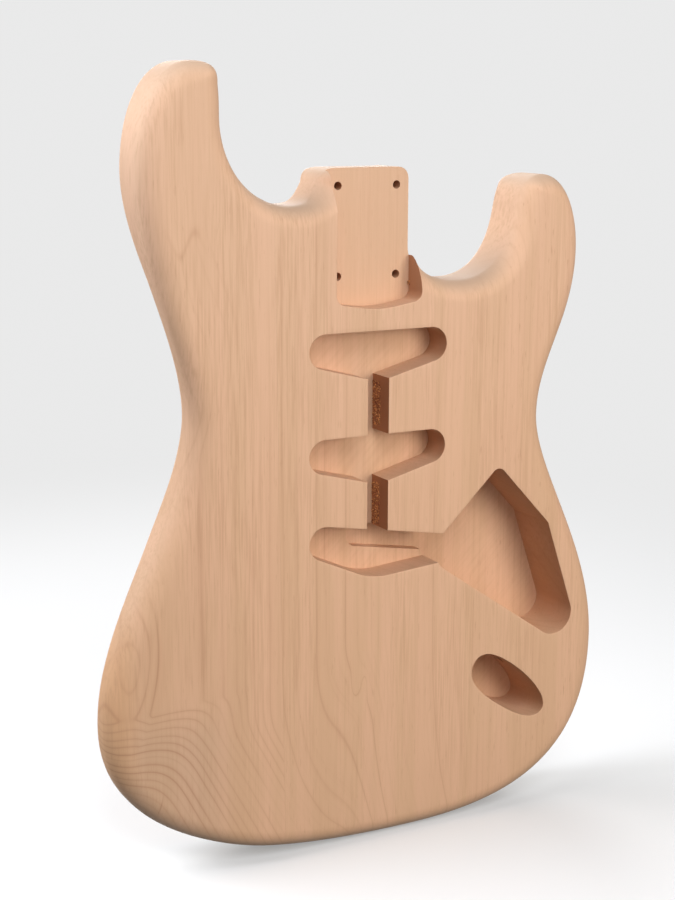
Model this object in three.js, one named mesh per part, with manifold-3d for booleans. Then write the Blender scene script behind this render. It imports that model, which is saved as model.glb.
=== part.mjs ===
import * as THREE from 'three';
import { mergeVertices } from 'three/addons/utils/BufferGeometryUtils.js';
import Module from 'manifold-3d';

// Bare wooden body of a double-cutaway electric guitar, glued up from three boards.
// Millimetres. X runs to the treble side, Y from the front face to the back, Z up to the neck.
// The origin is the middle of the four neck screws, on the floor of the neck pocket.

const wasm = await Module();
wasm.setup();

// Body

const body_length = 460;
const body_width = 324.5;
const body_thickness = 45;
const edge_radius = 12.5;

// Neck pocket and heel

const pocket_depth = 15.9;
const pocket_end_width = 55.6;
const pocket_mouth_width = 54.6;
const pocket_end_drop = 42.4;
const pocket_end_bow = 3;
const pocket_end_bow_radius = 70;
const pocket_corner_radius = 6;
const heel_rise = 35.6;
const heel_side_step = 0.4;
const heel_corner_radius = 6.5;
const ear_rise = -9.6;
const screw_spacing_across = 38;
const screw_spacing_along = 51;
const screw_hole_radius = 2.4;

// Pickup cavities, channel and slot

const neck_cavity_drop = 55.6;
const middle_cavity_drop = 115.9;
const bridge_cavity_drop = 172.8;
const bridge_cavity_offset = 1.3;
const bridge_cavity_turn = THREE.MathUtils.degToRad(9.6);
const pickup_cavity_depth = 19.2;
const pickup_end_spacing = 69.6;
const pickup_end_radius = 10;
const pickup_lower_slope = THREE.MathUtils.degToRad(14.5);
const bridge_cavity_heel_radius = 45;
const channel_width = 13.7;
const channel_offset = -0.4;
const slot_width = 14.4;
const slot_start = -4;
const slot_depth = 27;
const slot_reach = 50;

// Control cavity, jack cavity and the wire hole between them

const control_cavity_depth = 38;
const control_inner_across = 32;
const control_inner_drop = 192.8;
const control_inner_radius = 13.7;
const control_apex_radius = 5;
const control_outer_radius = 3;
const control_lower_radius = 13.3;
const jack_cavity_length = 64.2;
const jack_cavity_width = 25.8;
const jack_cavity_depth = 37;
const jack_cavity_turn = THREE.MathUtils.degToRad(-36.1);
const wire_hole_radius = 4.8;
const wire_hole_depth = 26;

// Contours for the forearm, on the front, and the ribs, on the back, and the wood beside the pocket
// rounded down towards the corner of the heel

const forearm_depth = 15;
const forearm_reach = 83;
const forearm_fold_width = 30;
const rib_depth = 18;
const rib_half_length = 105;
const shoulder_drop = 8;
const shoulder_reach = 26;

// Boards

const bass_board_edge = 66.3;
const treble_board_edge = 71.8;
const bass_board_lean = THREE.MathUtils.degToRad(0.92);
const treble_board_lean = THREE.MathUtils.degToRad(1.14);
const glue_gap = 0.3;

// Fineness of the facets, and how far a cutter runs past the wood

const outline_facet = 9.5;
const cavity_facet = 3.2;
const contour_facet = 9;
const least_curve_steps = 5;
const straight_steps = 2;
const edge_steps = 5;
const screw_hole_sides = 16;
const overrun = 12;

// Shares
// A knot gives its place as shares of the width and the length, its heading in degrees from the
// treble side, and how far the curve reaches along that heading before and after it, as shares of
// the straight way to the knot on that side.

const outline_shares = {
  bass_shoulder: { across: -0.1083, up: 0.0511, heading: 58, before: 0.44, after: 0.44 },
  treble_cutaway: { across: 0.1795, up: -0.066, heading: 0, before: 0.4, after: 0.46 },
  treble_horn_inside: { across: 0.298, up: 0.0055, heading: 76, before: 0.35, after: 0.39 },
  treble_horn_tip: { across: 0.358, up: 0.065, heading: 0, before: 0.515, after: 0.29 },
  treble_horn_outside: { across: 0.434, up: -0.032, heading: -90, before: 0.46, after: 0.42 },
  treble_waist: { across: 0.3555, up: -0.248, heading: -90, before: 0.33, after: 0.225 },
  treble_bout: { across: 0.4975, up: -0.57, heading: -90, before: 0.385, after: 0.575 },
  bottom: { across: 0.0695, up: -0.796, heading: 180, before: 0.29, after: 0.455 },
  bass_bout: { across: -0.5005, up: -0.604, heading: 90, before: 0.37, after: 0.35 },
  bass_waist: { across: -0.3485, up: -0.224, heading: 90, before: 0.345, after: 0.255 },
  bass_horn_outside: { across: -0.4365, up: 0.0735, heading: 90, before: 0.375, after: 0.48 },
  bass_horn_tip: { across: -0.3395, up: 0.2023, heading: 0, before: 0.28, after: 0.475 },
  bass_horn_inside: { across: -0.29, up: 0.14, heading: -90, before: 0.6, after: 0.4 },
  bass_cutaway: { across: -0.1575, up: 0.034, heading: 0, before: 0.4, after: 0.475 },
};
const heel_start_reach_share = 0.52;
const ear_reach_share = 0.41;
const control_shares = {
  apex: { across: 0.258, up: -0.3095 },
  outer: { across: 0.3725, up: -0.3965 },
  lower: { across: 0.4703, up: -0.5993 },
};
const jack_centre_shares = { across: 0.295, up: -0.6207 };
const jack_shares = {
  upper_end: { across: -0.52, up: 0.04, heading: 90, before: 0.365, after: 0.365 },
  upper_side: { across: -0.12, up: 0.5, heading: 0, before: 0.43, after: 0.455 },
  lower_end: { across: 0.48, up: -0.02, heading: -90, before: 0.2, after: 0.26 },
  lower_side: { across: -0.08, up: -0.5, heading: 180, before: 0.49, after: 0.45 },
};
const forearm_fold_shares = {
  upper: { across: -0.245, up: -0.143 },
  lower: { across: -0.205, up: -0.784 },
};
const shoulder_corner_share = -0.1;
const forearm_start_share = -0.1;
const forearm_full_share = -0.33;
const rib_centre_share = -0.147;
const rib_start_share = -0.11;
const rib_edge_share = -0.355;
const rib_ease_power = 1.5;
const corner_room_share = 0.85;
const thin_wall_share = 0.42;
const proud_share = 0.4;

// Worked out from the sizes above

const front_y = -pocket_depth;
const back_y = front_y + body_thickness;
const heel_side = pocket_mouth_width / 2 - heel_side_step;
const pickup_end_centre = pickup_end_spacing / 2;
const pickup_apex_drop = pickup_end_radius * (1 + 1 / Math.cos(pickup_lower_slope))
  + pickup_end_centre * Math.tan(pickup_lower_slope);
const half_turn = Math.PI;
const quarter_turn = Math.PI / 2;

function bodyPlace(shares) {
  return new THREE.Vector2(shares.across * body_width, shares.up * body_length);
}

function bodyKnot(shares) {
  return { ...shares, place: bodyPlace(shares) };
}

function headingAlong(knot) {
  const angle = THREE.MathUtils.degToRad(knot.heading);
  return new THREE.Vector2(Math.cos(angle), Math.sin(angle));
}

function curveBetween(path, from, to) {
  const way = from.place.distanceTo(to.place);
  const leaving = from.place.clone().addScaledVector(headingAlong(from), from.after * way);
  const arriving = to.place.clone().addScaledVector(headingAlong(to), -to.before * way);
  path.bezierCurveTo(leaving.x, leaving.y, arriving.x, arriving.y, to.place.x, to.place.y);
}

// Clockwise from the treble end of the heel, as seen from the front
function bodyOutline() {
  const knots = Object.fromEntries(
    Object.entries(outline_shares).map(([name, shares]) => [name, bodyKnot(shares)]),
  );
  const heel_start = {
    place: new THREE.Vector2(-(heel_side - heel_corner_radius), heel_rise),
    heading: 0,
    before: heel_start_reach_share,
  };
  const ear = { place: new THREE.Vector2(heel_side, ear_rise), heading: -90, after: ear_reach_share };
  const path = new THREE.Path();
  const corner_x = heel_side - heel_corner_radius;
  path.moveTo(corner_x, heel_rise);
  path.absarc(corner_x, heel_rise - heel_corner_radius, heel_corner_radius, quarter_turn, 0, true);
  path.lineTo(heel_side, ear_rise);
  const round = [
    ear,
    knots.treble_cutaway,
    knots.treble_horn_inside,
    knots.treble_horn_tip,
    knots.treble_horn_outside,
    knots.treble_waist,
    knots.treble_bout,
    knots.bottom,
    knots.bass_bout,
    knots.bass_waist,
    knots.bass_horn_outside,
    knots.bass_horn_tip,
    knots.bass_horn_inside,
    knots.bass_cutaway,
    knots.bass_shoulder,
    heel_start,
  ];
  for (let index = 1; index < round.length; index += 1) {
    curveBetween(path, round[index - 1], round[index]);
  }
  path.lineTo(corner_x, heel_rise);
  return path;
}

// Points along a path with the direction into the wood at each
function rimAlong(path) {
  const rim = [];
  for (const curve of path.curves) {
    const wanted = Math.ceil(curve.getLength() / outline_facet);
    const steps = curve.isLineCurve ? straight_steps : Math.max(least_curve_steps, wanted);
    for (let step = 0; step < steps; step += 1) {
      const along = curve.getTangentAt(step / steps);
      rim.push({
        place: curve.getPointAt(step / steps),
        inward: new THREE.Vector2(along.y, -along.x),
      });
    }
  }
  return rim;
}

// Radius of the largest circle inside the outline that touches it at one point of the rim
function roomAt(rim, index) {
  const { place, inward } = rim[index];
  let room = body_width;
  for (const other of rim) {
    const way = other.place.clone().sub(place);
    const ahead = way.dot(inward);
    if (ahead > 0) {
      room = Math.min(room, way.lengthSq() / (2 * ahead));
    }
  }
  return room;
}

// Depth of the forearm contour: a flat slope that leaves the front along a soft fold, and fades out
// towards the bass horn
function forearmDepth(place) {
  const upper = bodyPlace(forearm_fold_shares.upper);
  const lower = bodyPlace(forearm_fold_shares.lower);
  const fold = lower.clone().sub(upper).normalize();
  const past = place.clone().sub(upper).cross(fold);
  if (past <= 0) {
    return 0;
  }
  const start_z = forearm_start_share * body_length;
  const full_z = forearm_full_share * body_length;
  const fade = THREE.MathUtils.smoothstep(-place.y, -start_z, -full_z);
  const slope = (fade * forearm_depth) / (forearm_reach - forearm_fold_width / 2);
  if (past < forearm_fold_width) {
    return (slope * past * past) / (2 * forearm_fold_width);
  }
  return slope * (past - forearm_fold_width / 2);
}

function shoulderCorner() {
  return new THREE.Vector2(shoulder_corner_share * body_width, heel_rise);
}

function frontDepth(place) {
  const way = Math.min(place.distanceTo(shoulderCorner()) / shoulder_reach, 1);
  return forearmDepth(place) + shoulder_drop * (1 - way ** 2) ** 2;
}

// Depth of the rib contour: deepest at the bass waist, easing away along and across the back
function ribDepth(place) {
  const along = Math.abs(place.y - rib_centre_share * body_length) / rib_half_length;
  const start = rib_start_share * body_width;
  const across = (start - place.x) / (start - rib_edge_share * body_width);
  if (along >= 1 || across <= 0) {
    return 0;
  }
  return rib_depth * Math.cos(quarter_turn * along) ** 2 * across ** rib_ease_power;
}

function ringPoint(point, inset) {
  return point.place.clone().addScaledVector(point.inward, inset);
}

// Rings of one rounded edge, from a cap that stands proud of the face out to the side wall. The first
// facet of the edge runs on past the face, so that the face cuts it where the edge ends.
function edgeRings(rim, face_y, into_wood, contourDepth) {
  const rings = [];
  for (let step = 0; step <= edge_steps; step += 1) {
    const angle = (quarter_turn * step) / edge_steps;
    rings.push(rim.map((point) => {
      const place = ringPoint(point, point.edge * (1 - Math.sin(angle)));
      const drop = point.edge * (1 - Math.cos(angle));
      return new THREE.Vector3(place.x, face_y + into_wood * (contourDepth(place) + drop), place.y);
    }));
  }
  const [inner, following] = rings;
  const proud = inner.map((place, index) => place.clone().lerp(following[index], -proud_share));
  const cap = proud.map((place) => new THREE.Vector3(place.x, face_y - into_wood * overrun, place.z));
  return [cap, proud, ...rings.slice(1)];
}

function trianglesBetween(near, far, count) {
  const triangles = [];
  for (let index = 0; index < count; index += 1) {
    const next = (index + 1) % count;
    triangles.push(near + index, near + next, far + next);
    triangles.push(near + index, far + next, far + index);
  }
  return triangles;
}

function indexedGeometry(places, triangles) {
  const geometry = new THREE.BufferGeometry().setFromPoints(places);
  geometry.setIndex(triangles);
  return geometry;
}

// Side wall and rounded edges of the whole body. The radius of an edge gives way in tight corners and
// where the contours leave a thin wall.
function edgedGeometry() {
  const rim = rimAlong(bodyOutline());
  rim.forEach((point, index) => {
    const room = corner_room_share * roomAt(rim, index);
    const wall = body_thickness - frontDepth(point.place) - ribDepth(point.place);
    point.edge = Math.min(edge_radius, room, thin_wall_share * wall);
  });
  const front = edgeRings(rim, front_y, 1, frontDepth);
  const back = edgeRings(rim, back_y, -1, ribDepth);
  const rings = [...front, ...back.reverse()];
  const count = rim.length;
  const last = (rings.length - 1) * count;
  const triangles = [];
  for (let near = 0; near < last; near += count) {
    triangles.push(...trianglesBetween(near, near + count, count));
  }
  for (const [a, b, c] of THREE.ShapeUtils.triangulateShape(rim.map((point) => point.place), [])) {
    triangles.push(a, b, c);
    triangles.push(last + a, last + c, last + b);
  }
  return indexedGeometry(rings.flat(), triangles);
}

function gridLines(low, high, end) {
  const steps = Math.ceil((high - low) / contour_facet);
  const lines = [];
  for (let step = 0; step <= steps; step += 1) {
    lines.push(low + ((high - low) * step) / steps);
  }
  return [...lines, end];
}

// A slab wider than the body, whose two faces have the contours
function contouredGeometry() {
  const half_width = body_width / 2 + overrun;
  const corner = shoulderCorner();
  const right = Math.max(rib_start_share * body_width, corner.x + shoulder_reach);
  const top = Math.max(rib_centre_share * body_length + rib_half_length, corner.y + shoulder_reach);
  const columns = gridLines(-half_width, right, half_width);
  const rows = gridLines(-body_length, top, body_length);
  const places = [];
  for (const z of rows) {
    for (const x of columns) {
      const place = new THREE.Vector2(x, z);
      places.push(new THREE.Vector3(x, front_y + frontDepth(place), z));
      places.push(new THREE.Vector3(x, back_y - ribDepth(place), z));
    }
  }
  const front = (row, column) => 2 * (row * columns.length + column);
  const back = (row, column) => front(row, column) + 1;
  const triangles = [];
  const addQuad = (a, b, c, d) => triangles.push(a, b, c, a, c, d);
  const last_row = rows.length - 1;
  const last_column = columns.length - 1;
  for (let row = 0; row < last_row; row += 1) {
    for (let column = 0; column < last_column; column += 1) {
      addQuad(
        front(row, column), front(row, column + 1), front(row + 1, column + 1), front(row + 1, column));
      addQuad(back(row, column), back(row + 1, column), back(row + 1, column + 1), back(row, column + 1));
    }
    addQuad(front(row, 0), front(row + 1, 0), back(row + 1, 0), back(row, 0));
    addQuad(
      front(row, last_column), back(row, last_column),
      back(row + 1, last_column), front(row + 1, last_column));
  }
  for (let column = 0; column < last_column; column += 1) {
    addQuad(front(0, column), back(0, column), back(0, column + 1), front(0, column + 1));
    addQuad(
      front(last_row, column), front(last_row, column + 1),
      back(last_row, column + 1), back(last_row, column));
  }
  return indexedGeometry(places, triangles);
}

function solidFrom(geometry) {
  const plain = geometry.clone();
  plain.deleteAttribute('normal');
  plain.deleteAttribute('uv');
  const merged = mergeVertices(plain);
  return new wasm.Manifold(new wasm.Mesh({
    numProp: 3,
    vertProperties: merged.attributes.position.array,
    triVerts: new Uint32Array(merged.index.array),
  }));
}

function geometryFrom(solid) {
  const mesh = solid.getMesh();
  const geometry = new THREE.BufferGeometry();
  geometry.setAttribute('position', new THREE.BufferAttribute(mesh.vertProperties, 3));
  geometry.setIndex(new THREE.BufferAttribute(mesh.triVerts, 1));
  geometry.computeVertexNormals();
  return geometry;
}

function cavityPoints(path) {
  const points = [];
  for (const curve of path.curves) {
    const wanted = Math.ceil(curve.getLength() / cavity_facet);
    const steps = curve.isLineCurve ? 1 : Math.max(least_curve_steps, wanted);
    for (let step = 0; step < steps; step += 1) {
      points.push(curve.getPointAt(step / steps));
    }
  }
  return points;
}

// A cutter with upright walls, from past the front face down to the floor of the cavity
function cavityCutter(points, depth) {
  const geometry = new THREE.ExtrudeGeometry(new THREE.Shape(points), {
    depth: depth + overrun,
    bevelEnabled: false,
  });
  geometry.rotateX(quarter_turn);
  geometry.translate(0, front_y + depth, 0);
  return solidFrom(geometry);
}

// Middle of the round at one corner
function roundCentre(corner, before, after) {
  const back = before.place.clone().sub(corner.place).normalize();
  const on = after.place.clone().sub(corner.place).normalize();
  const half_angle = Math.acos(back.dot(on)) / 2;
  return corner.place.clone()
    .addScaledVector(back.add(on).normalize(), corner.radius / Math.sin(half_angle));
}

// Corners are vertices with a radius of their own, in order round the outline, or sharp ones
function roundedPath(corners) {
  const path = new THREE.Path();
  const count = corners.length;
  corners.forEach((corner, index) => {
    if (corner.radius === 0) {
      path.lineTo(corner.place.x, corner.place.y);
      return;
    }
    const before = corners[(index + count - 1) % count];
    const after = corners[(index + 1) % count];
    const back = before.place.clone().sub(corner.place).normalize();
    const on = after.place.clone().sub(corner.place).normalize();
    const centre = roundCentre(corner, before, after);
    const tangent_way = centre.clone().sub(corner.place).dot(on);
    const start = corner.place.clone().addScaledVector(back, tangent_way);
    const end = corner.place.clone().addScaledVector(on, tangent_way);
    const start_angle = start.clone().sub(centre).angle();
    const end_angle = end.clone().sub(centre).angle();
    const clockwise = back.cross(on) > 0;
    if (index === 0) {
      path.moveTo(start.x, start.y);
    } else {
      path.lineTo(start.x, start.y);
    }
    path.absarc(centre.x, centre.y, corner.radius, start_angle, end_angle, clockwise);
  });
  path.closePath();
  return path;
}

// Neck pocket: walls that close in a little towards the mouth, and a slightly bowed inner end
function pocketCutter() {
  const end_half = pocket_end_width / 2;
  const mouth_half = pocket_mouth_width / 2;
  const taper = (end_half - mouth_half) / (heel_rise + pocket_end_drop);
  const open_rise = heel_rise + overrun;
  const open_half = mouth_half - taper * overrun;
  const corner_drop = pocket_end_drop - pocket_end_bow;
  const corners = [
    { place: new THREE.Vector2(-end_half, -corner_drop), radius: pocket_corner_radius },
    { place: new THREE.Vector2(0, -pocket_end_drop - pocket_end_bow / 2), radius: pocket_end_bow_radius },
    { place: new THREE.Vector2(end_half, -corner_drop), radius: pocket_corner_radius },
    { place: new THREE.Vector2(open_half, open_rise), radius: 0 },
    { place: new THREE.Vector2(-open_half, open_rise), radius: 0 },
  ];
  return cavityCutter(cavityPoints(roundedPath(corners)), pocket_depth);
}

// One pickup cavity, hanging from the middle of its upper edge: round ends, and a lower edge that
// falls from both ends to the middle
function pickupPoints() {
  const end_x = pickup_end_centre;
  const lower_angle = quarter_turn - pickup_lower_slope;
  const path = new THREE.Path();
  path.moveTo(-end_x, 0);
  path.lineTo(end_x, 0);
  path.absarc(end_x, -pickup_end_radius, pickup_end_radius, quarter_turn, -lower_angle, true);
  path.lineTo(0, -pickup_apex_drop);
  path.lineTo(
    -end_x - pickup_end_radius * Math.cos(lower_angle),
    -pickup_end_radius - pickup_end_radius * Math.sin(lower_angle),
  );
  path.absarc(-end_x, -pickup_end_radius, pickup_end_radius, lower_angle - half_turn, quarter_turn, true);
  return cavityPoints(path);
}

// The bridge pickup's cavity is the same on the bass side and runs on into the control cavity
function bridgePoints() {
  const end_x = pickup_end_centre;
  const lower_angle = quarter_turn - pickup_lower_slope;
  const round_x = bridge_cavity_heel_radius * Math.sin(pickup_lower_slope);
  const centre_drop = pickup_apex_drop - bridge_cavity_heel_radius / Math.cos(pickup_lower_slope);
  const path = new THREE.Path();
  path.moveTo(-end_x, 0);
  path.lineTo(slot_reach, 0);
  path.lineTo(slot_reach, slot_reach * Math.tan(pickup_lower_slope) - pickup_apex_drop);
  path.lineTo(round_x, round_x * Math.tan(pickup_lower_slope) - pickup_apex_drop);
  path.absarc(
    0,
    -centre_drop,
    bridge_cavity_heel_radius,
    -lower_angle,
    lower_angle - half_turn,
    true,
  );
  path.lineTo(
    -end_x - pickup_end_radius * Math.cos(lower_angle),
    -pickup_end_radius - pickup_end_radius * Math.sin(lower_angle),
  );
  path.absarc(-end_x, -pickup_end_radius, pickup_end_radius, lower_angle - half_turn, quarter_turn, true);
  return cavityPoints(path);
}

function slotPoints() {
  const radius = slot_width / 2;
  const path = new THREE.Path();
  path.moveTo(slot_start, 0);
  path.lineTo(slot_reach, 0);
  path.lineTo(slot_reach, -slot_width);
  path.lineTo(slot_start, -slot_width);
  path.absarc(slot_start, -radius, radius, -quarter_turn, -quarter_turn - half_turn, true);
  return cavityPoints(path);
}

function channelPoints() {
  const left = channel_offset - channel_width / 2;
  const right = channel_offset + channel_width / 2;
  const top = -neck_cavity_drop - pickup_end_radius;
  const foot = -bridge_cavity_drop - pickup_end_radius;
  return [
    new THREE.Vector2(left, top),
    new THREE.Vector2(right, top),
    new THREE.Vector2(right, foot),
    new THREE.Vector2(left, foot),
  ];
}

function turned(points, angle, x, z) {
  const centre = new THREE.Vector2();
  return points.map((point) => point.clone().rotateAround(centre, angle).add(new THREE.Vector2(x, z)));
}

function controlCorners() {
  return [
    {
      place: new THREE.Vector2(control_inner_across, -control_inner_drop),
      radius: control_inner_radius,
    },
    { place: bodyPlace(control_shares.apex), radius: control_apex_radius },
    { place: bodyPlace(control_shares.outer), radius: control_outer_radius },
    { place: bodyPlace(control_shares.lower), radius: control_lower_radius },
  ];
}

function jackPoints() {
  const knots = Object.values(jack_shares).map((shares) => ({
    ...shares,
    place: new THREE.Vector2(shares.across * jack_cavity_length, shares.up * jack_cavity_width),
  }));
  const path = new THREE.Path();
  path.moveTo(knots[0].place.x, knots[0].place.y);
  knots.forEach((knot, index) => curveBetween(path, knot, knots[(index + 1) % knots.length]));
  const centre = bodyPlace(jack_centre_shares);
  return turned(cavityPoints(path), jack_cavity_turn, centre.x, centre.y);
}

// Drilled from the middle of the jack cavity into the round lower end of the control cavity
function wireHoleCutter() {
  const start = bodyPlace(jack_centre_shares);
  const [inner, , outer, lower] = controlCorners();
  const way = roundCentre(lower, outer, inner).sub(start);
  const geometry = new THREE.CylinderGeometry(
    wire_hole_radius, wire_hole_radius, way.length(), screw_hole_sides);
  geometry.translate(0, way.length() / 2, 0);
  geometry.rotateX(quarter_turn);
  geometry.rotateY(quarter_turn - way.angle());
  geometry.translate(start.x, front_y + wire_hole_depth, start.y);
  return solidFrom(geometry);
}

function screwHoleCutters() {
  const cutters = [];
  for (const across of [-1, 1]) {
    for (const along of [-1, 1]) {
      const geometry = new THREE.CylinderGeometry(
        screw_hole_radius, screw_hole_radius, body_thickness + 2 * overrun, screw_hole_sides);
      geometry.translate(
        (across * screw_spacing_across) / 2, (front_y + back_y) / 2, (along * screw_spacing_along) / 2);
      cutters.push(solidFrom(geometry));
    }
  }
  return cutters;
}

// One board's share of the blank, between two glue lines that lean in towards the bottom
function boardCutter(left_edge, left_lean, right_edge, right_lean) {
  const rise = body_length;
  const edgeAt = (edge, lean, z) => edge + z * Math.tan(lean);
  const points = [
    new THREE.Vector2(edgeAt(left_edge, left_lean, -rise), -rise),
    new THREE.Vector2(edgeAt(right_edge, right_lean, -rise), -rise),
    new THREE.Vector2(edgeAt(right_edge, right_lean, rise), rise),
    new THREE.Vector2(edgeAt(left_edge, left_lean, rise), rise),
  ];
  return cavityCutter(points, body_thickness + overrun);
}

function carvedBody() {
  const bridge_turn = -bridge_cavity_turn;
  const cutters = [
    pocketCutter(),
    cavityCutter(turned(pickupPoints(), 0, 0, -neck_cavity_drop), pickup_cavity_depth),
    cavityCutter(turned(pickupPoints(), 0, 0, -middle_cavity_drop), pickup_cavity_depth),
    cavityCutter(channelPoints(), pickup_cavity_depth),
    cavityCutter(
      turned(bridgePoints(), bridge_turn, bridge_cavity_offset, -bridge_cavity_drop),
      pickup_cavity_depth,
    ),
    cavityCutter(
      turned(slotPoints(), bridge_turn, bridge_cavity_offset, -bridge_cavity_drop),
      slot_depth,
    ),
    cavityCutter(cavityPoints(roundedPath(controlCorners())), control_cavity_depth),
    cavityCutter(jackPoints(), jack_cavity_depth),
    wireHoleCutter(),
    ...screwHoleCutters(),
  ];
  const blank = solidFrom(edgedGeometry()).intersect(solidFrom(contouredGeometry()));
  return cutters.reduce((wood, cutter) => wood.subtract(cutter), blank);
}

const colours = { bass_board: 0xd9b08c, centre_board: 0xd6ab85, treble_board: 0xd8ae89 };

function boardMesh(name, solid) {
  const material = new THREE.MeshStandardMaterial({ color: colours[name], roughness: 0.75, metalness: 0 });
  const mesh = new THREE.Mesh(geometryFrom(solid), material);
  mesh.name = name;
  return mesh;
}

const body = carvedBody();
const half_gap = glue_gap / 2;
const bass_cutter = boardCutter(
  -body_width, 0, -bass_board_edge - half_gap, -bass_board_lean);
const centre_cutter = boardCutter(
  -bass_board_edge + half_gap, -bass_board_lean, treble_board_edge - half_gap, treble_board_lean);
const treble_cutter = boardCutter(
  treble_board_edge + half_gap, treble_board_lean, body_width, 0);

const guitar_body = new THREE.Group();
guitar_body.add(boardMesh('bass_board', body.intersect(bass_cutter)));
guitar_body.add(boardMesh('centre_board', body.intersect(centre_cutter)));
guitar_body.add(boardMesh('treble_board', body.intersect(treble_cutter)));

export default guitar_body;
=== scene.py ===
# A bare wooden body of a double-cutaway electric guitar, glued up from three boards.
# Metres. X runs to the treble side, Y from the front face to the back, Z up to the neck.

import math
import random

import bmesh
import bpy
import numpy as np
from mathutils import Matrix, Vector
from mathutils.geometry import delaunay_2d_cdt


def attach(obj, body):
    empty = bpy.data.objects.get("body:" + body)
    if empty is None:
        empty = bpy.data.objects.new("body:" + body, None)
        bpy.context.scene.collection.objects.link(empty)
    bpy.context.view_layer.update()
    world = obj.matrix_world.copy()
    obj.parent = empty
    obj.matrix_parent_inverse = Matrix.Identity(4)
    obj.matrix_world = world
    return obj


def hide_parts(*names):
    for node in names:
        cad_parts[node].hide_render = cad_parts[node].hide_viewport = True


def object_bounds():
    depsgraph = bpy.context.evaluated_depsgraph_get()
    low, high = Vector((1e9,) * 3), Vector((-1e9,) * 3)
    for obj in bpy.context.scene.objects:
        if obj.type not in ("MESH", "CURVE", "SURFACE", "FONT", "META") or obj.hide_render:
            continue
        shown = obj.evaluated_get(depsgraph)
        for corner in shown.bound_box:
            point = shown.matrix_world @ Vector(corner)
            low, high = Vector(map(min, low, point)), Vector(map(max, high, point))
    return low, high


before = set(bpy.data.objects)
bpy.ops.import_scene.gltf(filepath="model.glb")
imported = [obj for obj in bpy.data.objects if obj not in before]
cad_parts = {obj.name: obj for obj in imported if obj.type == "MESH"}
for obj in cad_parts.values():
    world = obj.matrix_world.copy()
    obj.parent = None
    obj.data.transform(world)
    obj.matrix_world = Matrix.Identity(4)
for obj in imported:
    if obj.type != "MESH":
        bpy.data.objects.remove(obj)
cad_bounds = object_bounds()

mm = 0.001

# Body

body_length = 460 * mm
body_width = 324.5 * mm
body_thickness = 45 * mm
edge_radius = 12.5 * mm

# Neck pocket and heel

pocket_depth = 15.9 * mm
pocket_end_width = 55.6 * mm
pocket_mouth_width = 54.6 * mm
pocket_end_drop = 42.4 * mm
pocket_end_bow = 3 * mm
pocket_end_bow_radius = 70 * mm
pocket_corner_radius = 6 * mm
heel_rise = 35.6 * mm
heel_side_step = 0.4 * mm
heel_corner_radius = 6.5 * mm
ear_rise = -9.6 * mm
screw_spacing_across = 38 * mm
screw_spacing_along = 51 * mm
screw_hole_radius = 2.4 * mm

# Pickup cavities, channel and slot

neck_cavity_drop = 55.6 * mm
middle_cavity_drop = 115.9 * mm
bridge_cavity_drop = 172.8 * mm
bridge_cavity_offset = 1.3 * mm
bridge_cavity_turn = math.radians(9.6)
pickup_cavity_depth = 19.2 * mm
pickup_end_spacing = 69.6 * mm
pickup_end_radius = 10 * mm
pickup_lower_slope = math.radians(14.5)
bridge_cavity_heel_radius = 45 * mm
channel_width = 13.7 * mm
channel_offset = -0.4 * mm
slot_width = 14.4 * mm
slot_start = -4 * mm
slot_depth = 27 * mm
slot_reach = 50 * mm

# Control cavity and jack cavity

control_cavity_depth = 38 * mm
control_inner_across = 32 * mm
control_inner_drop = 192.8 * mm
control_inner_radius = 13.7 * mm
control_apex_radius = 5 * mm
control_outer_radius = 3 * mm
control_lower_radius = 13.3 * mm
jack_cavity_length = 64.2 * mm
jack_cavity_width = 25.8 * mm
jack_cavity_depth = 37 * mm
jack_cavity_turn = math.radians(-36.1)
wire_hole_radius = 4.8 * mm
wire_hole_depth = 26 * mm

# Contours for the forearm, on the front, and the ribs, on the back

forearm_depth = 15 * mm
forearm_reach = 83 * mm
forearm_fold_width = 30 * mm
rib_depth = 18 * mm
rib_half_length = 105 * mm
shoulder_drop = 8 * mm
shoulder_reach = 26 * mm

# Boards

bass_board_edge = 66.3 * mm
treble_board_edge = 71.8 * mm
bass_board_lean = math.radians(0.92)
treble_board_lean = math.radians(1.14)
glue_line = 0.04 * mm

# Fineness of the meshes, how far a cutter runs past the wood, and tolerances

rim_step = 2.2 * mm
face_step = 4 * mm
cavity_step = 1 * mm
edge_steps = 12
arris_radius = 0.35 * mm
arris_steps = 3
least_arc_steps = 3
least_curve_steps = 6
curve_length_share = 1.1
border_room_share = 0.6
hole_sides = 40
overrun = 12 * mm
net_tolerance = 1e-7
only_inside_border = 1
nearly_nothing = 1e-9
weld_distance = 2e-6
sharp_angle = math.radians(38)

# Shares of the body's width and length, from the same design as the solids: the knots of the
# outline with their headings in degrees, and how far the curve reaches along them

outline_shares = {
    "treble_cutaway": (0.1795, -0.066, 0, 0.4, 0.46),
    "treble_horn_inside": (0.298, 0.0055, 76, 0.35, 0.39),
    "treble_horn_tip": (0.358, 0.065, 0, 0.515, 0.29),
    "treble_horn_outside": (0.434, -0.032, -90, 0.46, 0.42),
    "treble_waist": (0.3555, -0.248, -90, 0.33, 0.225),
    "treble_bout": (0.4975, -0.57, -90, 0.385, 0.575),
    "bottom": (0.0695, -0.796, 180, 0.29, 0.455),
    "bass_bout": (-0.5005, -0.604, 90, 0.37, 0.35),
    "bass_waist": (-0.3485, -0.224, 90, 0.345, 0.255),
    "bass_horn_outside": (-0.4365, 0.0735, 90, 0.375, 0.48),
    "bass_horn_tip": (-0.3395, 0.2023, 0, 0.28, 0.475),
    "bass_horn_inside": (-0.29, 0.14, -90, 0.6, 0.4),
    "bass_cutaway": (-0.1575, 0.034, 0, 0.4, 0.475),
    "bass_shoulder": (-0.1083, 0.0511, 58, 0.44, 0.44),
}
heel_start_reach_share = 0.52
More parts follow.
